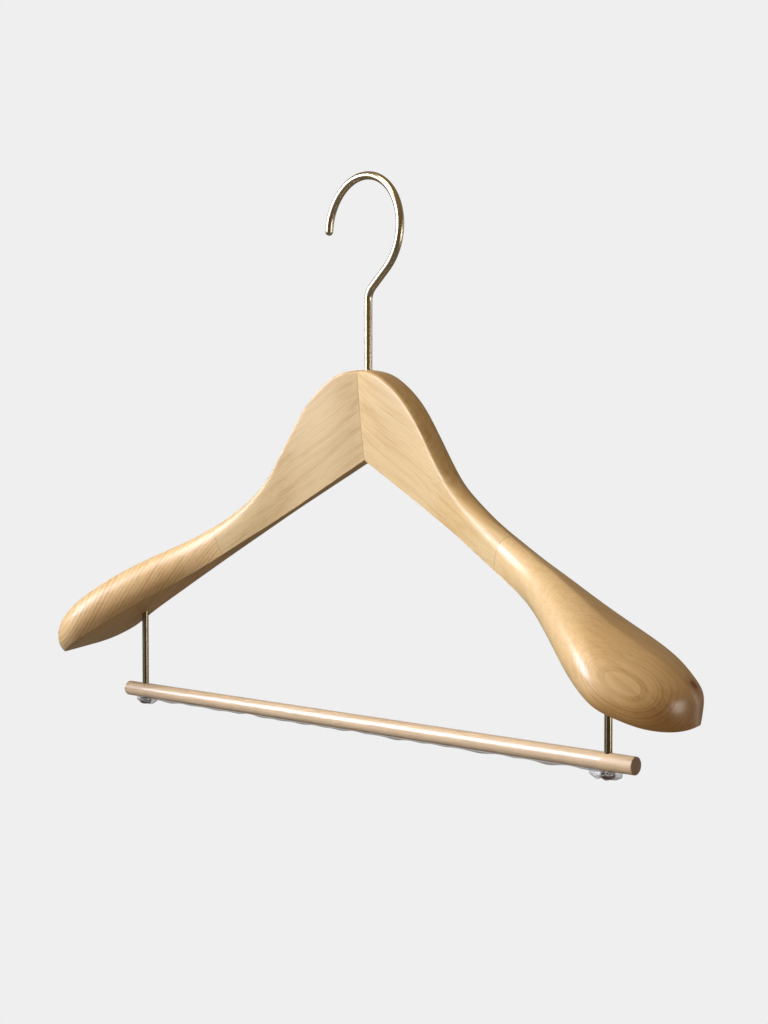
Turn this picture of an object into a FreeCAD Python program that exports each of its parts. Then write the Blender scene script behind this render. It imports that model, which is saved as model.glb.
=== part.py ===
import FreeCAD, Part
import math
import os
from FreeCAD import Vector

# A wide-shouldered wooden clothes hanger with a swivelling wire hook and a trouser bar.
# Millimetres.  +X runs along the hanger to its right shoulder, -Y is the front, +Z is up.
# The origin is the hook's seat: the point inside the loop, straight above the stem, that
# rests on the rail.

# ---------------------------------------------------------------- driving dimensions
HEAD_TOP = -97.3            # top of the wooden head, below the seat
HEAD_HEIGHT = 46.0          # head top to the notch between the arms
ARM_SLOPE = 0.54            # fall of the straight underside per millimetre outward
HALF_SPAN = 210.5           # centre line to the lower edge of a shoulder tip
TIP_Y = -25.0               # the tip's place forward of the hook

# The arm and shoulder, station by station outward from the centre line:
# (x, drop of the crown below the head top, drop of the front lower edge below the straight
#  underside, then the four y places: front below, front above, back above, back below,
#  and the radius over the top edges)
STATIONS = [
    (0.0, 0.0, 0.0, -3.0, -8.4, 7.8, 3.2, 2.2),
    (13.0, 1.8, 0.0, -4.2, -11.4, 6.6, 1.7, 2.2),
    (25.0, 8.5, 0.0, -5.3, -11.6, 4.8, 0.0, 2.4),
    (35.5, 17.8, 0.0, -6.2, -11.8, 3.6, -1.4, 2.7),
    (44.5, 29.0, 0.0, -7.0, -12.0, 2.6, -2.6, 3.2),
    (54.0, 42.6, 0.0, -8.1, -12.8, 2.2, -3.6, 4.2),
    (64.0, 55.0, 0.0, -9.4, -13.6, 1.2, -4.4, 5.6),
    (77.0, 66.0, 0.0, -12.0, -14.8, -0.4, -5.4, 7.5),
    (92.0, 75.8, 0.2, -15.2, -17.2, -2.8, -6.6, 9.5),
    (107.0, 83.8, 0.4, -18.2, -20.8, -5.0, -7.6, 12.0),
    (121.0, 90.6, 0.7, -23.0, -26.2, -7.2, -8.4, 15.0),
    (134.0, 96.2, 1.5, -30.6, -34.0, -8.6, -9.0, 18.5),
    (148.0, 102.4, 3.0, -39.9, -43.5, -9.8, -9.6, 21.0),
    (162.0, 109.2, 5.1, -48.4, -52.4, -10.2, -9.8, 22.5),
    (175.0, 116.3, 6.3, -53.6, -58.0, -9.2, -9.0, 23.0),
]
TIP_ANGLES = (20.0, 38.0, 54.0, 68.0, 80.0)     # rows that carry the surface round the tip
TIP_SLOPE = 0.50            # fall of the crown line over the tip
TIP_SQUARENESS = 0.62       # exponent of the tip's side outline, 1 is an ellipse
TIP_BULGE = 2.5             # the tip's wall stands out this far beyond its lower edge
CURL_START = 175.0          # the underside starts to curl up here
CURL_RISE = 3.5             # and is this much above the straight line at the tip
BACK_RADIUS = 5.0           # the back's top edge is never rounded more than this
FRONT_FALL = 0.10           # share of the height that the top falls from crown to front edge
BACK_FALL = 0.34            # and to the back edge
ARCHED_FROM = 7.2           # a top with this half width or less is flat across
ARCHED_FULLY = 19.2         # and from this half width on it falls by the whole share
WALL_LEAN = 0.45            # a wall's middle has done this share of its lean
WALL_CLIMB = 0.33           # and this share of its climb
ROUNDING_WIDTH = 1.25       # a top edge is rounded this much wider than it is deep
# Control points over a top edge: the share of the rounding's width reached, then the shares of
# the rounding's depth and of the top's fall that are still left to climb
EDGE_POINTS = [
    (0.08, 0.50, 0.4),
    (0.48, 0.14, 0.5),
    (1.0, 0.0, 0.2),
]

JOINT_X = 99.0              # where the glued arm-to-shoulder joint crosses mid height
JOINT_Y = -12.4             # the arm's middle there
JOINT_TOP = HEAD_TOP - 79.6 # and its top
JOINT_TILT = 22.0           # the joint plane's lean from vertical, degrees
JOINT_TURN = 8.0            # and its turn in plan, square to the arm

WIRE_RADIUS = 2.1           # hook wire
LOOP_RADIUS = 27.4          # loop, to the middle of the wire
LOOP_OFFSET = -3.5          # loop centre from the stem's axis, towards the tip
CRANK_DROP = 57.6           # seat to the corner where the stem cranks over
CRANK_RADIUS = 9.0          # bend at that corner
TIP_END_ANGLE = 176.0       # loop ends here, counted round from +X over the top

HOOK_TURN = -5.0            # the hook's plane as it rests, turned about the stem, degrees

SLEEVE_RADIUS = 3.3         # swivel sleeve in the head
SLEEVE_LENGTH = 13.0
SWIVEL_CLEARANCE = 0.05     # all round the stem in the sleeve
WASHER_RADIUS = 4.0
WASHER_THICKNESS = 0.8
NUT_RADIUS = 3.6
NUT_HEIGHT = 4.0
NUT_CHAMFER = 0.4
POCKET_RADIUS = 4.3         # pocket milled in the head for washer and nut
POCKET_HEIGHT = 6.2

HEAD_DOWEL = (1.75, 9.0)    # radius, half length
HEAD_DOWEL_DROPS = (27.0, 37.0)     # below the head top
SHOULDER_DOWEL = (2.0, 11.0)
SHOULDER_DOWEL_OFFSETS = (-3.9, 3.9)    # from the joint's middle, along the joint

BAR_RADIUS = 4.1
BAR_HALF_LENGTH = 175.2
BAR_DROP = 178.6            # head top to the bar's axis
BAR_Y = -17.2
BAR_END_ROUNDING = 0.5
ROD_X = 160.6
ROD_RADIUS = 1.8
ROD_IN_WOOD = 13.0          # length of rod screwed up into the shoulder
ROD_STUD_RADIUS = 1.3       # lower end, turned down to take the cap nut
CAP_RADIUS = 3.2
CAP_HEIGHT = 3.2
CAP_BORE_DEPTH = 1.9
CAP_END_RADIUS = 1.8

GRIP_THICKNESS = 0.35       # clear vinyl tube
GRIP_END_GAP = 1.0          # tube stops this far inside the rods
TAB_LENGTH = 4.6            # tab under the bar, out past each rod
TAB_HALF_WIDTH = 2.6

OVERRUN = 5.0               # cutting shapes run this far out of what they cut
SMALLEST = 1e-6

# ---------------------------------------------------------------- derived heights
NOTCH = HEAD_TOP - HEAD_HEIGHT
BAR_Z = HEAD_TOP - BAR_DROP
GRIP_RADIUS = BAR_RADIUS + GRIP_THICKNESS
SLEEVE_BOTTOM = HEAD_TOP - SLEEVE_LENGTH
NUT_TOP = SLEEVE_BOTTOM - WASHER_THICKNESS - SWIVEL_CLEARANCE
NUT_BOTTOM = NUT_TOP - NUT_HEIGHT
LOOP_CENTRE_Z = -math.sqrt((LOOP_RADIUS - WIRE_RADIUS) ** 2 - LOOP_OFFSET ** 2)


def underside_z(x):
    """Height of the back lower edge, straight and then curling up to the tip."""
    curl = max(0.0, x - CURL_START) / (HALF_SPAN - CURL_START)
    return NOTCH - ARM_SLOPE * x + CURL_RISE * curl ** 2


# ---------------------------------------------------------------- arm and shoulder
def wall_points(low_y, high_y, foot_z, radius, fall, base_x, crown):
    """Control points up one wall and over its top edge, as far as the crown."""
    height = max(crown.z - foot_z, SMALLEST)
    inward = 1 if crown.y > high_y else -1
    half_width = abs(crown.y - high_y)
    depth = min(0.8, radius / height)
    width = min(radius * ROUNDING_WIDTH, 0.9 * half_width) * inward
    arch = (half_width - ARCHED_FROM) / (ARCHED_FULLY - ARCHED_FROM)
    top_fall = fall * min(1.0, max(0.0, arch))
    steps = [
        (low_y, 0.0),
        (low_y + WALL_LEAN * (high_y - low_y), WALL_CLIMB * (1 - depth)),
        (high_y, 1 - depth),
    ]
    for across, depth_left, fall_left in EDGE_POINTS:
        steps.append((high_y + across * width, 1 - depth_left * depth - fall_left * top_fall))
    return [Vector(base_x + (crown.x - base_x) * up, y, foot_z + height * up) for y, up in steps]


def section_row(base_x, crown, places, front_drop, radius):
    """Control points over one section, from its front lower edge to its back lower edge."""
    front_low, front_high, back_high, back_low = places
    foot = underside_z(base_x)
    back_radius = min(radius, BACK_RADIUS)
    front = wall_points(front_low, front_high, foot - front_drop, radius, FRONT_FALL, base_x, crown)
    back = wall_points(back_low, back_high, foot, back_radius, BACK_FALL, base_x, crown)
    return front + [crown] + back[::-1]


def station_row(station):
    x, crown_drop, front_drop, *places, radius = station
    crown = Vector(x, (places[1] + places[2]) / 2, HEAD_TOP - crown_drop)
    return section_row(x, crown, places, front_drop, radius)


def tip_row(angle):
    """A row that leans outward, on its way to closing on the lowest point of the tip."""
    x, crown_drop, front_drop, *places, radius = STATIONS[-1]
    sine = math.sin(math.radians(angle))
    cosine = math.cos(math.radians(angle))
    reach = HALF_SPAN - x
    base_x = x + reach * sine
    crown_x = x + reach * sine ** TIP_SQUARENESS
    crown_x += TIP_BULGE * math.sin(math.radians(2 * angle))
    crown_line = HEAD_TOP - crown_drop - TIP_SLOPE * (crown_x - x)
    end_height = HEAD_TOP - crown_drop - TIP_SLOPE * reach - underside_z(HALF_SPAN)
    crown_z = crown_line - end_height * (1 - cosine ** TIP_SQUARENESS)
    crown_y = TIP_Y + ((places[1] + places[2]) / 2 - TIP_Y) * cosine
    places = [TIP_Y + (place - TIP_Y) * cosine for place in places]
    crown = Vector(crown_x, crown_y, crown_z)
    return section_row(base_x, crown, places, front_drop * cosine, radius)


def skin_surface(rows):
    """Cubic surface through the rows lengthwise, with the rows as its poles across."""
    params = [0.0]
    for near, far in zip(rows, rows[1:]):
        gaps = [(b - a).Length for a, b in zip(near, far)]
        params.append(params[-1] + sum(gaps) / len(gaps))
    columns = []
    for column in zip(*rows):
        curve = Part.BSplineCurve()
        curve.interpolate(Points=list(column), Parameters=params)
        columns.append(curve)
    lengthwise = columns[0]
    poles = list(zip(*[curve.getPoles() for curve in columns]))
    spans = len(rows[0]) - 3
    surface = Part.BSplineSurface()
    surface.buildFromPolesMultsKnots(
        [list(row) for row in poles],
        lengthwise.getMultiplicities(),
        [4] + [1] * (spans - 1) + [4],
        lengthwise.getKnots(),
        [float(k) for k in range(spans + 1)],
        False, False, lengthwise.Degree, 3)
    return surface


def half_body():
    """Right arm and shoulder in one solid, running a little past the centre line."""
    centre, beside = STATIONS[0], STATIONS[1]
    before = [2 * c - b for c, b in zip(centre, beside)]
    before[1] = beside[1]
    before[-1] = beside[-1]
    rows = [station_row(before)]
    rows += [station_row(station) for station in STATIONS]
    rows += [tip_row(angle) for angle in TIP_ANGLES]
    tip = Vector(HALF_SPAN, TIP_Y, underside_z(HALF_SPAN))
    rows.append([tip] * len(rows[0]))
    skin = skin_surface(rows)
    u_start, u_end, v_start, v_end = skin.bounds()
    skin_face = skin.toShape()
    front_edge = skin.vIso(v_start).toShape()
    back_edge = skin.vIso(v_end).toShape()
    underside = Part.makeRuledSurface(front_edge, back_edge)
    end_curve = skin.uIso(u_start).toShape()
    closing = Part.makeLine(rows[0][-1], rows[0][0])
    end_cap = Part.Face(Part.Wire([end_curve, closing]))
    shell = Part.Shell(Part.makeCompound([skin_face, underside, end_cap]).Faces)
    shell.sewShape()
    solid = Part.Solid(Part.Shell(shell.Faces))
    if solid.Volume < 0:
        solid.reverse()
    return solid


def outside_of(point, direction, size=500.0):
    """A block that fills the space past a plane, on the side that the direction points to."""
    block = Part.makeBox(size, size, size, Vector(-size / 2, -size / 2, 0))
    block.Placement = FreeCAD.Placement(point, FreeCAD.Rotation(Vector(0, 0, 1), direction))
    return block


def joint_point():
    return Vector(JOINT_X, JOINT_Y, (JOINT_TOP + underside_z(JOINT_X)) / 2)


def joint_direction():
    tilt = math.radians(JOINT_TILT)
    turn = math.radians(JOINT_TURN)
    return Vector(math.cos(tilt) * math.cos(turn), -math.cos(tilt) * math.sin(turn), -math.sin(tilt))


def rod(point, direction, radius, length):
    return Part.makeCylinder(radius, length, point, direction)


def centred_rod(point, direction, radius, half_length):
    return rod(point - direction * half_length, direction, radius, 2 * half_length)


def head_dowels():
    radius, half_length = HEAD_DOWEL
    pieces = []
    for drop in HEAD_DOWEL_DROPS:
        pieces.append(centred_rod(Vector(0, 0, HEAD_TOP - drop), Vector(1, 0, 0), radius, half_length))
    return Part.makeCompound(pieces)


def shoulder_dowels():
    radius, half_length = SHOULDER_DOWEL
    direction = joint_direction()
    up_joint = direction.cross(Vector(0, -1, 0)).normalize()
    pieces = []
    for offset in SHOULDER_DOWEL_OFFSETS:
        pieces.append(centred_rod(joint_point() + up_joint * offset, direction, radius, half_length))
    return Part.makeCompound(pieces)


def swivel_pocket():
    bore_length = SLEEVE_LENGTH + OVERRUN
    sleeve_bore = rod(Vector(0, 0, SLEEVE_BOTTOM), Vector(0, 0, 1), SLEEVE_RADIUS, bore_length)
    pocket_foot = Vector(0, 0, SLEEVE_BOTTOM - POCKET_HEIGHT)
    pocket = rod(pocket_foot, Vector(0, 0, 1), POCKET_RADIUS, POCKET_HEIGHT)
    return sleeve_bore.fuse(pocket)


def arm(body):
    inner = body.common(outside_of(Vector(0, 0, NOTCH), Vector(1, 0, 0)))
    inner = inner.cut(outside_of(joint_point(), joint_direction()))
    for tool in [swivel_pocket(), head_dowels(), shoulder_dowels()]:
        inner = inner.cut(tool)
    return inner


def shoulder(body):
    outer = body.common(outside_of(joint_point(), joint_direction()))
    return outer.cut(shoulder_dowels()).cut(bar_rod())


# ---------------------------------------------------------------- trouser bar
def trouser_bar():
    bar = centred_rod(Vector(0, BAR_Y, BAR_Z), Vector(1, 0, 0), BAR_RADIUS, BAR_HALF_LENGTH)
    end_edges = [edge for edge in bar.Edges if isinstance(edge.Curve, Part.Circle)]
    bar = bar.makeFillet(BAR_END_ROUNDING, end_edges)
    return bar.cut(bar_rod()).cut(mirrored(bar_rod()))


def bar_rod():
    """Right rod: screwed into the shoulder, through the bar, with a stud for the cap nut."""
    bar_under = BAR_Z - BAR_RADIUS
    stud_foot = Vector(ROD_X, BAR_Y, bar_under - GRIP_THICKNESS - CAP_BORE_DEPTH)
    stud = rod(stud_foot, Vector(0, 0, 1), ROD_STUD_RADIUS, CAP_BORE_DEPTH + GRIP_THICKNESS)
    top = underside_z(ROD_X) + ROD_IN_WOOD
    shank = rod(Vector(ROD_X, BAR_Y, bar_under), Vector(0, 0, 1), ROD_RADIUS, top - bar_under)
    return shank.fuse(stud).removeSplitter()


def rod_cap():
    """Right cap nut with a rounded end, drawn up against the grip's tab."""
    foot = Vector(ROD_X, BAR_Y, BAR_Z - BAR_RADIUS - GRIP_THICKNESS - CAP_HEIGHT)
    cap = rod(foot, Vector(0, 0, 1), CAP_RADIUS, CAP_HEIGHT)
    lower_rim = [edge for edge in cap.Edges if edge.BoundBox.ZMax < foot.z + CAP_HEIGHT / 2]
    return cap.makeFillet(CAP_END_RADIUS, lower_rim).cut(bar_rod())


def grip_sleeve():
    """Clear tube round the bar, with a flat tab at each end that the cap nut clamps."""
    tube_half = ROD_X - ROD_RADIUS - GRIP_END_GAP
    axis_point = Vector(0, BAR_Y, BAR_Z)
    tube = centred_rod(axis_point, Vector(1, 0, 0), GRIP_RADIUS, tube_half)
    tab_half = ROD_X + TAB_LENGTH
    tab_foot = Vector(-tab_half, BAR_Y - TAB_HALF_WIDTH, BAR_Z - GRIP_RADIUS)
    tabs = Part.makeBox(2 * tab_half, 2 * TAB_HALF_WIDTH, GRIP_THICKNESS, tab_foot)
    core = centred_rod(axis_point, Vector(1, 0, 0), BAR_RADIUS, tab_half + OVERRUN)
    grip = tube.fuse(tabs).cut(core)
    for tool in [bar_rod(), mirrored(bar_rod())]:
        grip = grip.cut(tool)
    return grip.removeSplitter()


# ---------------------------------------------------------------- hook and swivel
def hook_path():
    """Middle line of the wire: stem, crank, straight neck, loop."""
    centre = Vector(LOOP_OFFSET, 0, LOOP_CENTRE_Z)
    corner = Vector(0, 0, -CRANK_DROP)
    to_centre = centre - corner
    spread = math.asin(LOOP_RADIUS / to_centre.Length)
    neck_angle = math.atan2(to_centre.z, to_centre.x) - spread
    neck = Vector(math.cos(neck_angle), 0, math.sin(neck_angle))
    neck_length = math.sqrt(to_centre.Length ** 2 - LOOP_RADIUS ** 2)
    turn = math.pi / 2 - neck_angle
    setback = CRANK_RADIUS * math.tan(turn / 2)
    stem_end = corner - Vector(0, 0, setback)
    neck_start = corner + neck * setback
    neck_end = corner + neck * neck_length
    bend_centre = stem_end + Vector(CRANK_RADIUS, 0, 0)
    bend_mid = bend_centre + Vector(-math.cos(turn / 2), 0, math.sin(turn / 2)) * CRANK_RADIUS

    def on_loop(angle):
        return centre + Vector(math.cos(angle), 0, math.sin(angle)) * LOOP_RADIUS

    end = math.radians(TIP_END_ANGLE)
    start = neck_angle - math.pi / 2
    edges = [
        Part.LineSegment(Vector(0, 0, NUT_BOTTOM), stem_end).toShape(),
        Part.Arc(stem_end, bend_mid, neck_start).toShape(),
        Part.LineSegment(neck_start, neck_end).toShape(),
        Part.Arc(neck_end, on_loop((start + end) / 2), on_loop(end)).toShape(),
    ]
    return Part.Wire(edges), on_loop(end)


def hook():
    path, tip = hook_path()
    foot = Part.Wire(Part.Circle(Vector(0, 0, NUT_BOTTOM), Vector(0, 0, 1), WIRE_RADIUS).toShape())
    wire = path.makePipeShell([foot], True, False)
    wire = wire.fuse(Part.makeSphere(WIRE_RADIUS, tip)).removeSplitter()
    return wire.rotate(Vector(0, 0, 0), Vector(0, 0, 1), HOOK_TURN)


def ring(foot_z, height, outer, inner):
    foot = Vector(0, 0, foot_z)
    up = Vector(0, 0, 1)
    return rod(foot, up, outer, height).cut(rod(foot, up, inner, height))


def hook_nut():
    nut = rod(Vector(0, 0, NUT_BOTTOM), Vector(0, 0, 1), NUT_RADIUS, NUT_HEIGHT)
    rims = [edge for edge in nut.Edges if isinstance(edge.Curve, Part.Circle)]
    wire = rod(Vector(0, 0, NUT_BOTTOM), Vector(0, 0, 1), WIRE_RADIUS, NUT_HEIGHT + OVERRUN)
    return nut.makeChamfer(NUT_CHAMFER, rims).cut(wire)


def mirrored(shape):
    return shape.mirror(Vector(0, 0, 0), Vector(1, 0, 0))


def save(name, shape):
    kind = "ok" if shape.isValid() else "INVALID"
    print(f"{name:24s} {kind:8s} solids {len(shape.Solids)}  volume {shape.Volume:10.1f}")
    shape.exportStep(f"parts/{name}.step")


def build():
    os.makedirs("parts", exist_ok=True)
    body = half_body()
    stem_bore = WIRE_RADIUS + SWIVEL_CLEARANCE
    washer_z = SLEEVE_BOTTOM - WASHER_THICKNESS
    save("hook", hook())
    save("hook_nut", hook_nut())
    save("swivel_sleeve", ring(SLEEVE_BOTTOM, SLEEVE_LENGTH, SLEEVE_RADIUS, stem_bore))
    save("swivel_washer", ring(washer_z, WASHER_THICKNESS, WASHER_RADIUS, stem_bore))
    save("head_dowels", head_dowels())
    save("trouser_bar", trouser_bar())
    save("grip_sleeve", grip_sleeve())
    sided = {
        "arm": arm(body),
        "shoulder": shoulder(body),
        "shoulder_dowels": shoulder_dowels(),
        "bar_rod": bar_rod(),
        "rod_cap": rod_cap(),
    }
    for name, shape in sided.items():
        save(f"{name}_right", shape)
        save(f"{name}_left", mirrored(shape))


build()
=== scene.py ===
import math

import bmesh
import bpy
from mathutils import Euler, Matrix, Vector, noise


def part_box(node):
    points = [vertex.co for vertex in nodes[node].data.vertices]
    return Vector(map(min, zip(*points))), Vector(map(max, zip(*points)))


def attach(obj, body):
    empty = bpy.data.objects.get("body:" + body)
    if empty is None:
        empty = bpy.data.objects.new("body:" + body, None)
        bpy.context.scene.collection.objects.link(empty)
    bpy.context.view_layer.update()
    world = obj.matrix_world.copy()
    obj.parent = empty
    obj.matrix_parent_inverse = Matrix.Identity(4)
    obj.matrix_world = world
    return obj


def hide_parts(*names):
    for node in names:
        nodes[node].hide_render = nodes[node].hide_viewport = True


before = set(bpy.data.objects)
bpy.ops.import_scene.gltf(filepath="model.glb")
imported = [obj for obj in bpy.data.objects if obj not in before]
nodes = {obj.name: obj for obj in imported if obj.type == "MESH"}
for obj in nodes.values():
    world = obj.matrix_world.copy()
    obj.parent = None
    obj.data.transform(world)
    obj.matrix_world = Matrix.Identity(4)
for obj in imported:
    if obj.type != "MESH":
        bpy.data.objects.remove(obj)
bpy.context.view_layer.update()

# A wooden clothes hanger with a brass hook and a trouser bar in a clear film.
# Metres.  +X is the hanger's right, -Y its front, +Z up; the origin is the hook's seat.

# ---------------------------------------------------------------- places taken from the frame
bar_low, bar_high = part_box("trouser_bar")
rod_low, rod_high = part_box("bar_rod_right")

BAR_AXIS = (bar_low + bar_high) / 2
BAR_RADIUS = (bar_high.z - bar_low.z) / 2
BAR_HALF_LENGTH = (bar_high.x - bar_low.x) / 2
ROD_X = (rod_low.x + rod_high.x) / 2
ROD_RADIUS = (rod_high.x - rod_low.x) / 2
ARM_SLOPE = math.atan(0.54)             # fall of the arms from level, radians

# The glued joint between arm and shoulder: a point on it and its normal (right side).
JOINT_POINT = (0.099, -0.0124, -0.1868)
JOINT_NORMAL = (0.918, -0.129, -0.375)
KNOT = (0.2080, -0.0246, -0.2366)       # a knot in the right shoulder's tip

# Directions as the camera sees them.
VIEW_TURN = math.radians(42.7)
TO_RIGHT = Vector((math.cos(VIEW_TURN), math.sin(VIEW_TURN), 0))
TO_CAMERA = Vector((math.sin(VIEW_TURN), -math.cos(VIEW_TURN), 0))
UP = Vector((0, 0, 1))


# ---------------------------------------------------------------- small node-graph helper
class Graph:
    """Makes shader nodes in one node tree; every call returns the node's output."""

    def __init__(self, tree):
        self.tree = tree

    def node(self, kind, **settings):
        made = self.tree.nodes.new(kind)
        for key, value in settings.items():
            setattr(made, key, value)
        return made

    def plug(self, socket, value):
        if isinstance(value, bpy.types.NodeSocket):
            self.tree.links.new(value, socket)
        else:
            socket.default_value = value

    def coords(self, kind="Object"):
        return self.node("ShaderNodeTexCoord").outputs[kind]

    def math(self, operation, *values, clamp=False):
        made = self.node("ShaderNodeMath", operation=operation, use_clamp=clamp)
        for socket, value in zip(made.inputs, values):
            self.plug(socket, value)
        return made.outputs[0]

    def add(self, *values):
        total = values[0]
        for value in values[1:]:
            total = self.math("ADD", total, value)
        return total

    def times(self, *values):
        product = values[0]
        for value in values[1:]:
            product = self.math("MULTIPLY", product, value)
        return product

    def vector(self, operation, *values):
        made = self.node("ShaderNodeVectorMath", operation=operation)
        for socket, value in zip(made.inputs, values):
            self.plug(socket, value)
        return made.outputs["Value" if operation in ("LENGTH", "DOT_PRODUCT") else "Vector"]

    def along(self, coords, direction):
        return self.vector("DOT_PRODUCT", coords, direction)

    def distance(self, coords, point):
        return self.vector("LENGTH", self.vector("SUBTRACT", coords, point))

    def local(self, coords, place, turn):
        """Coordinates in a frame that stands at place, turned by Euler angles."""
        made = self.node("ShaderNodeMapping", vector_type="TEXTURE")
        self.plug(made.inputs["Vector"], coords)
        made.inputs["Location"].default_value = place
        made.inputs["Rotation"].default_value = turn
        return made.outputs[0]

    def noise(self, coords, cells, detail=2.0, roughness=0.5):
        """Noise from 0 to 1, with so many cells to the metre along each axis."""
        made = self.node("ShaderNodeTexNoise")
        self.plug(made.inputs["Vector"], self.vector("MULTIPLY", coords, cells))
        made.inputs["Scale"].default_value = 1.0
        made.inputs["Detail"].default_value = detail
        made.inputs["Roughness"].default_value = roughness
        return made.outputs[0]

    def ramp(self, value, stops):
        made = self.node("ShaderNodeValToRGB")
        self.plug(made.inputs[0], value)
        elements = made.color_ramp.elements
        while len(elements) < len(stops):
            elements.new(0.5)
        for element, (place, colour) in zip(elements, stops):
            element.position = place
            element.color = (*colour, 1)
        return made.outputs[0]

    def mix(self, share, first, second, blend="MIX"):
        made = self.node("ShaderNodeMix", data_type="RGBA", blend_type=blend)
        self.plug(made.inputs[0], share)
        for socket, value in zip(made.inputs[6:8], (first, second)):
            self.plug(socket, value if isinstance(value, bpy.types.NodeSocket) else (*value, 1))
        return made.outputs[2]

    def smooth(self, value, low, high, to_low=0.0, to_high=1.0):
        """Eases from to_low, where value is low, to to_high, where it is high."""
        made = self.node("ShaderNodeMapRange", interpolation_type="SMOOTHSTEP")
        self.plug(made.inputs["Value"], value)
        for socket, number in zip(made.inputs[1:5], (low, high, to_low, to_high)):
            socket.default_value = number
        return made.outputs[0]


class Surface(Graph):
    """A material and its main shader, with the object's own coordinates as place."""

    def __init__(self, name):
        self.material = bpy.data.materials.new(name)
        self.material.use_nodes = True
        super().__init__(self.material.node_tree)
        self.shader = self.tree.nodes["Principled BSDF"]
        self.place = self.coords()

    def put(self, **sockets):
        for key, value in sockets.items():
            self.plug(self.shader.inputs[key.replace("_", " ")], value)

    def bump(self, height, depth):
        made = self.node("ShaderNodeBump")
        made.inputs["Strength"].default_value = 1.0
        made.inputs["Distance"].default_value = depth
        self.plug(made.inputs["Height"], height)
        self.put(Normal=made.outputs[0])


# ---------------------------------------------------------------- wood
# Share of late wood over one year's growth: it rises slowly and falls off sharply.
LATE_WOOD = [(0.0, (0, 0, 0)), (0.50, (0.16,) * 3), (0.82, (0.80,) * 3),
             (0.91, (1, 1, 1)), (0.98, (0.10,) * 3), (1.0, (0, 0, 0))]

# Noise cells to the metre: along the grain, then across it.
DRIFT = (8, 34, 34)                     # slow wander of the rings
WOBBLE = (22, 120, 120)                 # their small wander
FADE = (20, 60, 60)                     # places where rings are faint
FIBRE = (45, 1500, 1500)
STREAK = (12, 300, 300)
# And along X, Y and Z.
CLOUD = (28, 28, 28)
AMBER_PATCH = (11, 11, 17)
RAGGED_EDGE = (420, 420, 420)

YEAR_UNEVENNESS = 1.3                   # how much the years differ in width
KNOT_REACH = 0.012                      # rings bend within this distance of a knot
KNOT_PUSH = 0.003                       # and this far at most
UP_AND_BACK = (0, 0.6, 0.8)
PLAIN_WIDTH = 0.018                     # over this distance the rings fade to plain wood
SHADE_FADE = 0.013                     # and the painted shade at the bottom to none
FILM_EDGE = 0.0004                      # half width of the change from bare wood to film gloss
BARE_COAT = 0.12                        # gloss of the bar where no film covers it
END_DEPTH = 0.0002                      # end grain reaches this far in from an end
RELIEF = 0.00003                        # depth of the fibres

AMBER = (1.0, 0.91, 0.76)
# Painted shade: the colour that darkens the bottom of the right shoulder's nose.
UNDERSIDE_SHADE = (0.70, 0.53, 0.30)
END_GRAIN = (0.50, 0.42, 0.34)
GLUE_LINE = (0.22, 0.12, 0.05)
KNOT_HALO = (0.42, 0.16, 0.03)
KNOT_CORE = (0.24, 0.07, 0.006)


def ring_pattern(g, log, ring, wander, knot):
    """Late wood, 0 to 1, in rings round the log's pith that bend round a knot."""
    radius = g.vector("LENGTH", g.vector("MULTIPLY", log, (0, 1, 1)))
    drift = g.noise(log, DRIFT, detail=1.0)
    wobble = g.noise(log, WOBBLE, detail=1.0)
    radius = g.add(radius, g.times(drift, wander * 4), g.times(wobble, wander * 0.35))
    if knot:
        bend = g.smooth(g.distance(g.place, knot), 0.0, KNOT_REACH, KNOT_PUSH, 0.0)
        radius = g.add(radius, bend)
    years = g.math("DIVIDE", radius, ring)
    uneven = g.node("ShaderNodeTexNoise", noise_dimensions="1D")
    g.plug(uneven.inputs["W"], g.times(years, 0.37))
    years = g.add(years, g.times(uneven.outputs[0], YEAR_UNEVENNESS))
    late_wood = g.ramp(g.math("FRACT", years), LATE_WOOD)
    faint = g.noise(log, FADE, detail=1.0)
    return g.times(late_wood, g.smooth(faint, 0.30, 0.70, 0.50, 1.0))


def grain_tone(g, log, late_wood, fibre, depth, streaks):
    """How dark the wood is, 0 to 1: rings, fibres, streaks and soft clouds together."""
    streak = g.noise(log, STREAK)
    cloud = g.noise(g.place, CLOUD)
    tone = g.add(g.times(late_wood, depth), g.times(g.smooth(fibre, 0.35, 0.70), 0.22))
    tone = g.add(tone, g.times(g.smooth(streak, 0.42, 0.72), streaks))
    return g.math("ADD", tone, g.times(g.smooth(cloud, 0.35, 0.75), 0.10), clamp=True)


def wood_colour(g, tone, light, dark, warm):
    """Light to dark by tone, with amber patches as strong as warm."""
    middle = tuple(a * 0.60 + b * 0.40 for a, b in zip(light, dark))
    colour = g.ramp(tone, [(0.0, light), (0.5, middle), (1.0, dark)])
    amber = g.noise(g.place, AMBER_PATCH, detail=1.0)
    return g.mix(g.smooth(amber, 0.40, 0.66, 0.0, warm), colour, AMBER, "MULTIPLY")


def draw_seams(g, colour, seams):
    """Thin glue lines, each given by a point, a normal, a half width and a strength."""
    for point, normal, width, strength in seams:
        away = g.along(g.vector("SUBTRACT", g.place, point), normal)
        line = g.smooth(g.math("ABSOLUTE", away), width * 0.3, width, strength, 0.0)
        colour = g.mix(line, colour, GLUE_LINE)
    return colour


def draw_knot(g, colour, knot):
    ragged = g.times(g.noise(g.place, RAGGED_EDGE), 0.0018)
    reach = g.add(g.distance(g.place, knot), ragged)
    colour = g.mix(g.smooth(reach, 0.0025, 0.0075, 0.6, 0.0), colour, KNOT_HALO)
    return g.mix(g.smooth(reach, 0.0022, 0.0036, 1.0, 0.0), colour, KNOT_CORE)


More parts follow.
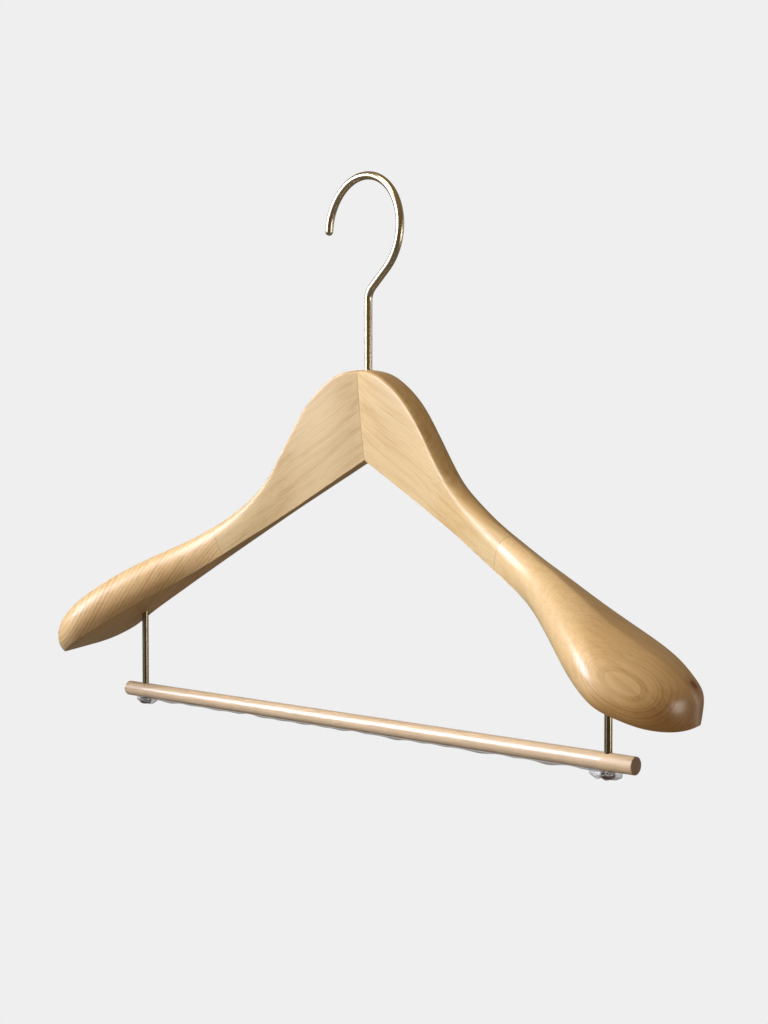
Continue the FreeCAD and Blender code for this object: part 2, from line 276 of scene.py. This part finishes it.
def wood(name, light, dark, pith, turn, ring, depth, wander=0.0008, knot=None, seams=(),
         warm=0.5, plain_above=None, shade_below=None, film_half=None, end_at=None,
         streaks=0.18, coat=0.42, coat_roughness=0.27):
    """Lacquered wood cut from a log: rings round a pith line that runs along the grain.

    pith and turn place the log, ring is a year's growth in metres, depth the rings' contrast.
    Rings fade up and back from plain_above, and below the height shade_below the wood is
    painted darker, as painted shade; film_half is the half length that a film makes glossy,
    and end_at the x of darker end grain.
    """
    g = Surface(name)
    log = g.local(g.place, pith, turn)
    late_wood = ring_pattern(g, log, ring, wander, knot)
    if plain_above:
        height = g.along(g.place, UP_AND_BACK)
        plain = g.smooth(height, plain_above, plain_above + PLAIN_WIDTH, 1.0, 0.25)
        late_wood = g.times(late_wood, plain)
    fibre = g.noise(log, FIBRE, detail=4.0, roughness=0.62)
    tone = grain_tone(g, log, late_wood, fibre, depth, streaks)
    colour = wood_colour(g, tone, light, dark, warm)
    # Painted shade: below this height the colour is multiplied darker, so the nose's underside
    # looks shaded.
    if shade_below:
        height = g.along(g.place, UP)
        painted_shade = g.smooth(height, shade_below, shade_below + SHADE_FADE, 0.85, 0.0)
        colour = g.mix(painted_shade, colour, UNDERSIDE_SHADE, "MULTIPLY")
    colour = draw_seams(g, colour, seams)
    if knot:
        colour = draw_knot(g, colour, knot)
    if film_half:
        out = g.math("ABSOLUTE", g.along(g.place, (1, 0, 0)))
        coat = g.smooth(out, film_half - FILM_EDGE, film_half + FILM_EDGE, coat, BARE_COAT)
        end = g.smooth(out, end_at - END_DEPTH, end_at)
        colour = g.mix(end, colour, END_GRAIN, "MULTIPLY")
    g.bump(g.add(g.times(fibre, 0.5), g.times(late_wood, 0.35)), RELIEF)
    g.put(Base_Color=colour, Roughness=g.add(0.42, g.times(fibre, 0.12)), IOR=1.45,
          Coat_Weight=coat, Coat_Roughness=coat_roughness, Coat_IOR=1.5)
    return g.material


def assign(material, *names):
    for name in names:
        slots = nodes[name].data.materials
        slots.clear()
        slots.append(material)


def other_side(vector):
    return (-vector[0], vector[1], vector[2])


# Glue lines: point, normal, half width, strength.
MITRE = ((0, 0, 0), (1, 0, 0), 0.00030, 0.55)
JOINT_RIGHT = (JOINT_POINT, JOINT_NORMAL, 0.00024, 0.60)
JOINT_LEFT = (other_side(JOINT_POINT), other_side(JOINT_NORMAL), 0.00024, 0.50)

assign(wood("wood_arm_right", (0.745, 0.56, 0.285), (0.48, 0.265, 0.082),
            pith=(0.0, 0.060, -0.330), turn=(0, ARM_SLOPE, 0), ring=0.0019, depth=0.26,
            streaks=0.42, seams=[MITRE, JOINT_RIGHT], warm=0.55), "arm_right")
assign(wood("wood_arm_left", (0.74, 0.56, 0.29), (0.47, 0.275, 0.095),
            pith=(0.0, 0.045, -0.310), turn=(0, -ARM_SLOPE, 0), ring=0.0017, depth=0.24,
            streaks=0.40, seams=[MITRE, JOINT_LEFT], warm=0.25), "arm_left")
# The right shoulder's nose is painted darker at the bottom: painted shade.
assign(wood("wood_shoulder_right", (0.80, 0.58, 0.285), (0.42, 0.21, 0.058),
            pith=(0.1386, 0.0322, -0.2807), turn=(0, 0.636, 0.2285), ring=0.0012, depth=0.56,
            wander=0.0005, knot=KNOT, seams=[JOINT_RIGHT], plain_above=-0.2215,
            shade_below=-0.248, coat=0.95, coat_roughness=0.25), "shoulder_right")
# The left shoulder's colours are lighter than the right's: partly the board's own tone, partly
# painted light for its lit tip.
assign(wood("wood_shoulder_left", (0.83, 0.61, 0.32), (0.48, 0.25, 0.075),
            pith=(-0.1389, 0.0300, -0.2851), turn=(0, -0.607, -0.171), ring=0.0018, depth=0.66,
            wander=0.0006, seams=[JOINT_LEFT], warm=0.35), "shoulder_left")
assign(wood("wood_bar", (0.745, 0.565, 0.35), (0.48, 0.31, 0.15),
            pith=(0.0, BAR_AXIS.y + 0.021, BAR_AXIS.z - 0.017), turn=(0, 0.004, 0),
            ring=0.0013, depth=0.40, warm=0.1, film_half=ROD_X - ROD_RADIUS,
            end_at=BAR_HALF_LENGTH, coat=0.95, coat_roughness=0.11), "trouser_bar")
assign(wood("wood_dowels", (0.74, 0.58, 0.38), (0.5, 0.33, 0.17),
            pith=(0.0, 0.02, -0.20), turn=(0, 0, 0), ring=0.0012, depth=0.4),
       "head_dowels", "shoulder_dowels_left", "shoulder_dowels_right")


# ---------------------------------------------------------------- metal
DRAWN = (900, 900, 60)                  # grain of drawn wire, cells to the metre
TARNISH = (60, 60, 60)


def metal(name, bright, tarnished, roughness=0.18):
    """Polished plate with a faint drawn grain and slow changes of tone."""
    g = Surface(name)
    drawn = g.noise(g.place, DRAWN, detail=1.0)
    cloud = g.noise(g.place, TARNISH, detail=3.0)
    share = g.math("ADD", g.times(drawn, 0.10), g.times(cloud, 0.80), clamp=True)
    g.put(Base_Color=g.ramp(share, [(0.25, bright), (0.75, tarnished)]),
          Roughness=g.add(roughness, g.times(cloud, 0.10)), Metallic=1.0)
    return g.material


assign(metal("brass_hook", (0.82, 0.75, 0.56), (0.66, 0.58, 0.41)),
       "hook", "hook_nut", "swivel_sleeve")
# The rods' brass is painted far darker than the hook's brass: painted shade on the thin rods.
assign(metal("brass_rods", (0.36, 0.32, 0.21), (0.26, 0.225, 0.14)),
       "bar_rod_left", "bar_rod_right", "rod_cap_left", "rod_cap_right")
assign(metal("steel_washer", (0.62, 0.62, 0.61), (0.50, 0.50, 0.50), 0.20), "swivel_washer")


# ---------------------------------------------------------------- clear grip film
FILM_AROUND = 48                        # columns round the bar
FILM_ALONG = 260                        # rows along it
FILM_END_GAP = 0.0012                   # film stops this far inside the rods
FILM_CLEARANCE = 0.00022                # film to bar
LOOSENESS = 0.00022                     # the film stands this much further out in places
LOOSE_ALONG = 55                        # noise cells of such places to the metre
LOOSE_AROUND = 2.2                      # and to a radius, round the bar
SEAM_HEIGHT = 0.0016                    # welded seam that hangs under the bar
SEAM_TURN = 0.18                        # from straight down, radians
SEAM_SHARPNESS = 40
SEAM_WAVES = 75                         # to the metre
SEAM_MEAN = 0.55                        # mean share of the seam's height
SEAM_SWING = 0.80                       # and how far it swings either way
SEAM_SHADE = 0.0004                     # the film turns dark brown over this height
SEAM_COLOUR = (0.30, 0.25, 0.19)
SEAM_ALPHA = 0.55
FILM_CELLS = (300, 300, 300)

BUNCH_ROWS = 26
BUNCH_COLUMNS = 44
BUNCH_HALF_WIDTH = 0.0042
BUNCH_INSET = 0.0012                    # the bunch's middle is this far inside the rod's axis
BUNCH_SINK = 0.86                       # its top is this share of a bar radius below the axis
BLUNTNESS = 2.6                         # of its ends
END_GIRTH = 0.04                        # what is left of its girth at the very ends
FOLD_SIZE = 1.6
CREASE_SIZE = 4.0
SWELL = (0.62, 0.26, 0.14)              # width: even share, then by folds and by creases
DROOP = (0.72, 0.28, 0.10)              # depth, likewise


def film_material(name, alpha, pale, dull, seam_top=None):
    """Clear film; below seam_top, where it hangs under the bar as a seam, it is coloured dark
    brown and hides more.
    """
    g = Surface(name)
    cloud = g.noise(g.place, FILM_CELLS, detail=3.0)
    colour = g.ramp(cloud, [(0.35, pale), (0.65, dull)])
    if seam_top:
        height = g.along(g.place, UP)
        under_seam = g.smooth(height, seam_top - SEAM_SHADE, seam_top, 1.0, 0.0)
        colour = g.mix(under_seam, colour, SEAM_COLOUR)
        alpha = g.smooth(height, seam_top - SEAM_SHADE, seam_top, SEAM_ALPHA, alpha)
    g.put(Base_Color=colour, Roughness=g.add(0.07, g.times(cloud, 0.08)), Alpha=alpha,
          Coat_Weight=1.0, Coat_Roughness=0.04, IOR=1.5)
    return g.material


def around(columns):
    """Angles of evenly spaced columns round a closed ring."""
    return [2 * math.pi * j / columns for j in range(columns)]


def film_tube():
    """Open tube round the bar between the rods, with a wavy seam underneath."""
    half = ROD_X - ROD_RADIUS - FILM_END_GAP
    rows = []
    for i in range(FILM_ALONG + 1):
        x = -half + 2 * half * i / FILM_ALONG
        wave = SEAM_MEAN + SEAM_SWING * noise.noise(Vector((x * SEAM_WAVES, 0, 7)))
        row = []
        for angle in around(FILM_AROUND):
            y = math.cos(angle)
            z = math.sin(angle)
            spot = Vector((x * LOOSE_ALONG, LOOSE_AROUND * y, LOOSE_AROUND * z))
            loose = abs(LOOSENESS * noise.noise(spot))
            below = max(0.0, math.cos(angle + math.pi / 2 - SEAM_TURN)) ** SEAM_SHARPNESS
            radius = BAR_RADIUS + FILM_CLEARANCE + loose + SEAM_HEIGHT * below * wave
            row.append((x, BAR_AXIS.y + radius * y, BAR_AXIS.z + radius * z))
        rows.append(row)
    return rows


def bunch(centre, half_length, half_width, drop, seed):
    """Crumpled end of the film, gathered under the bar over the cap nut."""
    rows = []
    for i in range(BUNCH_ROWS + 1):
        along = -1 + 2 * i / BUNCH_ROWS
        girth = math.sqrt(max(0.0, 1 - abs(along) ** BLUNTNESS)) * 0.92 + END_GIRTH
        row = []
        for angle in around(BUNCH_COLUMNS):
            spot = Vector((along * 1.7 + seed, 1.5 * math.cos(angle), 1.5 * math.sin(angle)))
            fold = 1 - abs(2 * noise.noise(spot * FOLD_SIZE))
            crease = 1 - abs(2 * noise.noise(spot * CREASE_SIZE + Vector((0, 0, seed))))
            swell = girth * (SWELL[0] + SWELL[1] * fold + SWELL[2] * crease)
            droop = DROOP[0] + DROOP[1] * fold + DROOP[2] * crease
            side = math.cos(angle) * half_width * swell
            down = (math.sin(angle) * 0.5 - 0.5) * drop * (0.35 + 0.65 * girth) * droop
            row.append((centre.x + along * half_length, centre.y + side, centre.z + down))
        rows.append(row)
    return rows


def add_grid(mesh, rows, closed_ends):
    """Skins rings of points that are closed round, and caps the ends if asked."""
    rings = [[mesh.verts.new(point) for point in row] for row in rows]
    for near, far in zip(rings, rings[1:]):
        for i in range(len(near)):
            j = (i + 1) % len(near)
            mesh.faces.new((near[i], near[j], far[j], far[i]))
    if closed_ends:
        mesh.faces.new(rings[0][::-1])
        mesh.faces.new(rings[-1])


def film_piece(name, grids, material, closed_ends):
    mesh = bmesh.new()
    for rows in grids:
        add_grid(mesh, rows, closed_ends)
    bmesh.ops.recalc_face_normals(mesh, faces=mesh.faces)
    data = bpy.data.meshes.new(name)
    mesh.to_mesh(data)
    mesh.free()
    for polygon in data.polygons:
        polygon.use_smooth = True
    data.materials.append(material)
    piece = bpy.data.objects.new(name, data)
    bpy.context.scene.collection.objects.link(piece)
    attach(piece, "hanger")
    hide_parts("grip_sleeve")


film_under = BAR_AXIS.z - BAR_RADIUS - FILM_CLEARANCE
clear = film_material("clear_film", 0.07, (0.88, 0.85, 0.80), (0.96, 0.93, 0.88), film_under)
film_piece("grip_film", [film_tube()], clear, False)

bunch_top = BAR_AXIS.z - BAR_RADIUS * BUNCH_SINK
ends = []
for side, half_length, drop, seed in ((1, 0.0086, 0.0047, 3.1), (-1, 0.0078, 0.0042, 8.4)):
    middle = Vector((side * (ROD_X - BUNCH_INSET), BAR_AXIS.y, bunch_top))
    ends.append(bunch(middle, half_length, BUNCH_HALF_WIDTH, drop, seed))
crumpled = film_material("crumpled_film", 0.32, (0.24, 0.23, 0.24), (0.62, 0.62, 0.64))
film_piece("grip_bunches", ends, crumpled, True)


# ---------------------------------------------------------------- light, floor and camera
TARGET = Vector((0, -0.02, -0.19))      # what the lights are aimed at
SPREAD = math.radians(60)

BACKDROP = 0.863                        # linear value of the pale background
GLOW_BEHIND = (0.20, 0.160, 0.115)
GLOW_IN_FRONT = (0.118, 0.070, 0.037)
GLOW_ABOVE = (0.25, 0.18, 0.11)
GLOW_BELOW = (0.132, 0.110, 0.090)

FLOOR_HEIGHT = -1.25
FLOOR_RADIUS = 1.9
FLOOR_DARK = (0.78,) * 3
FLOOR_PALE = (0.82,) * 3

CAMERA_PLACE = (0.54846, -0.58246, -0.14600)
CAMERA_DIP = 0.03                       # radians below level
LENS = 54.70
SENSOR = 36.0


def softbox(name, right, up, towards, distance, width, height, power, tint=(1, 1, 1),
            diffuse=True, gloss=True):
    """Rectangular light aimed at the hanger from a direction given in the camera's terms."""
    light = bpy.data.lights.new(name, "AREA")
    light.shape = "RECTANGLE"
    light.size = width
    light.size_y = height
    light.energy = power
    light.color = tint
    light.spread = SPREAD
    lamp = bpy.data.objects.new(name, light)
    away = (TO_RIGHT * right + UP * up + TO_CAMERA * towards).normalized()
    lamp.location = TARGET + away * distance
    lamp.rotation_euler = away.to_track_quat("Z", "Y").to_euler()
    lamp.visible_diffuse = diffuse
    lamp.visible_glossy = gloss
    bpy.context.scene.collection.objects.link(lamp)


def lights():
    softbox("key_left", -0.95, 0.38, 0.10, 0.64, 0.75, 0.45, 1.46, (0.94, 1.0, 1.18))
    softbox("fill_left", -0.90, -0.12, 0.45, 1.00, 0.50, 0.40, 0.06, (0.84, 1.0, 1.28))
    softbox("edge_right", 0.98, 0.0, -0.14, 1.20, 0.14, 0.90, 0.10, diffuse=False)
    softbox("glint_right", 0.84, -0.06, 0.50, 1.20, 0.40, 0.40, 0.24, diffuse=False)
    softbox("fill_above", -0.50, 0.86, 0.28, 1.30, 0.60, 0.60, 0.78, (1.0, 0.83, 0.60))
    softbox("fill_back", 0.10, 0.35, -1.0, 1.30, 0.70, 0.70, 0.50, (1.0, 0.96, 0.90), gloss=False)
    softbox("fill_front", 0.30, -0.10, 1.0, 1.60, 0.35, 0.35, 0.3, (1.0, 0.88, 0.72), gloss=False)


def surroundings():
    """Flat pale background to the eye; for light and gloss, dim, and warmer in front."""
    world = bpy.data.worlds.new("studio")
    bpy.context.scene.world = world
    world.use_nodes = True
    g = Graph(world.node_tree)
    g.tree.nodes.clear()
    direction = g.coords("Generated")
    front = g.along(direction, TO_CAMERA)
    height = g.along(direction, UP)
    colour = g.mix(g.smooth(front, -0.75, 0.25), GLOW_BEHIND, GLOW_IN_FRONT)
    colour = g.mix(g.smooth(height, -0.2, 0.9, 0.0, 0.55), colour, GLOW_ABOVE)
    colour = g.mix(g.smooth(height, -0.2, -0.7), colour, GLOW_BELOW)
    ambient = g.node("ShaderNodeBackground")
    g.plug(ambient.inputs["Color"], colour)
    seen = g.node("ShaderNodeBackground")
    seen.inputs["Color"].default_value = (BACKDROP, BACKDROP, BACKDROP, 1)
    choice = g.node("ShaderNodeMixShader")
    g.plug(choice.inputs[0], g.node("ShaderNodeLightPath").outputs["Is Camera Ray"])
    g.plug(choice.inputs[1], ambient.outputs[0])
    g.plug(choice.inputs[2], seen.outputs[0])
    output = g.node("ShaderNodeOutputWorld")
    g.plug(output.inputs["Surface"], choice.outputs[0])


def floor():
    """Round pale studio floor, as far below the hook as a clothes rail is high.

    Its paint glows, and bounce and reflection do not see it, so that it looks pale from every
    side and does not light the hanger's undersides.
    """
    bpy.ops.mesh.primitive_circle_add(vertices=128, radius=FLOOR_RADIUS, fill_type="NGON",
                                      location=(0, 0, FLOOR_HEIGHT))
    disc = bpy.context.object
    disc.name = "studio_floor"
    g = Surface("floor_paint")
    cloud = g.noise(g.place, (3, 3, 3), detail=3.0)
    paint = g.ramp(cloud, [(0.3, FLOOR_DARK), (0.7, FLOOR_PALE)])
    g.put(Base_Color=g.mix(0.8, paint, (0, 0, 0)), Roughness=0.8,
          Emission_Color=paint, Emission_Strength=1.0)
    disc.data.materials.append(g.material)
    disc.visible_diffuse = False
    disc.visible_glossy = False


def camera():
    data = bpy.data.cameras.new("camera")
    data.sensor_width = SENSOR
    data.lens = LENS
    data.clip_start = 0.01
    eye = bpy.data.objects.new("camera", data)
    eye.location = CAMERA_PLACE
    eye.rotation_euler = Euler((math.pi / 2 - CAMERA_DIP, 0, VIEW_TURN))
    bpy.context.scene.collection.objects.link(eye)
    bpy.context.scene.camera = eye
    bpy.context.scene.view_settings.view_transform = "Standard"


lights()
surroundings()
floor()
camera()
